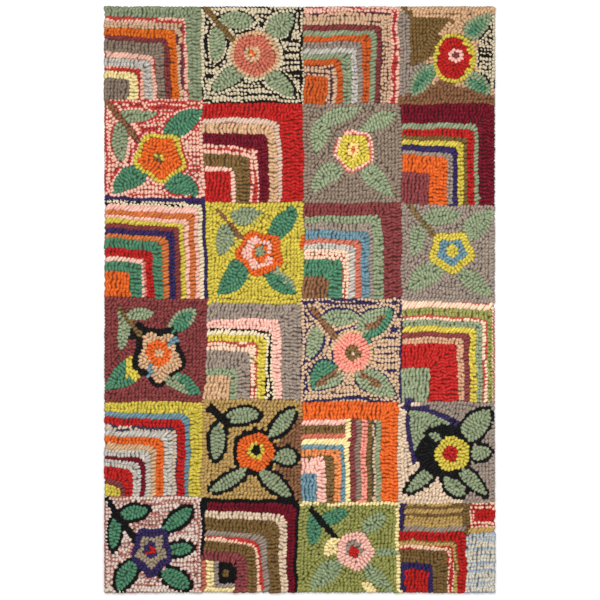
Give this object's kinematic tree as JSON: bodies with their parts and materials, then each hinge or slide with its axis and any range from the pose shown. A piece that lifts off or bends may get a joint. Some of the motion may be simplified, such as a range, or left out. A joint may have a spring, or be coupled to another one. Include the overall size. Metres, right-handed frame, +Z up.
{
  "type": "hooked rug",
  "caption": "Flat rectangular accent rug of hooked yarn loops on a woven foundation, in flower blocks and nested-corner blocks.",
  "frame": {"origin": "on the floor, under the middle of the rug", "axes": "+X across the rug, +Y along it towards the top of the pattern, +Z up out of the pile"},
  "size_m": [0.6096, 0.9144, 0.0092],
  "materials": {
    "yarn_pile": "matte hooked wool yarn loops in many colours",
    "foundation": "matte plain-woven linen foundation cloth"
  },
  "bodies": {
    "root": {"rug": "yarn_pile"}
  },
  "joints": []
}
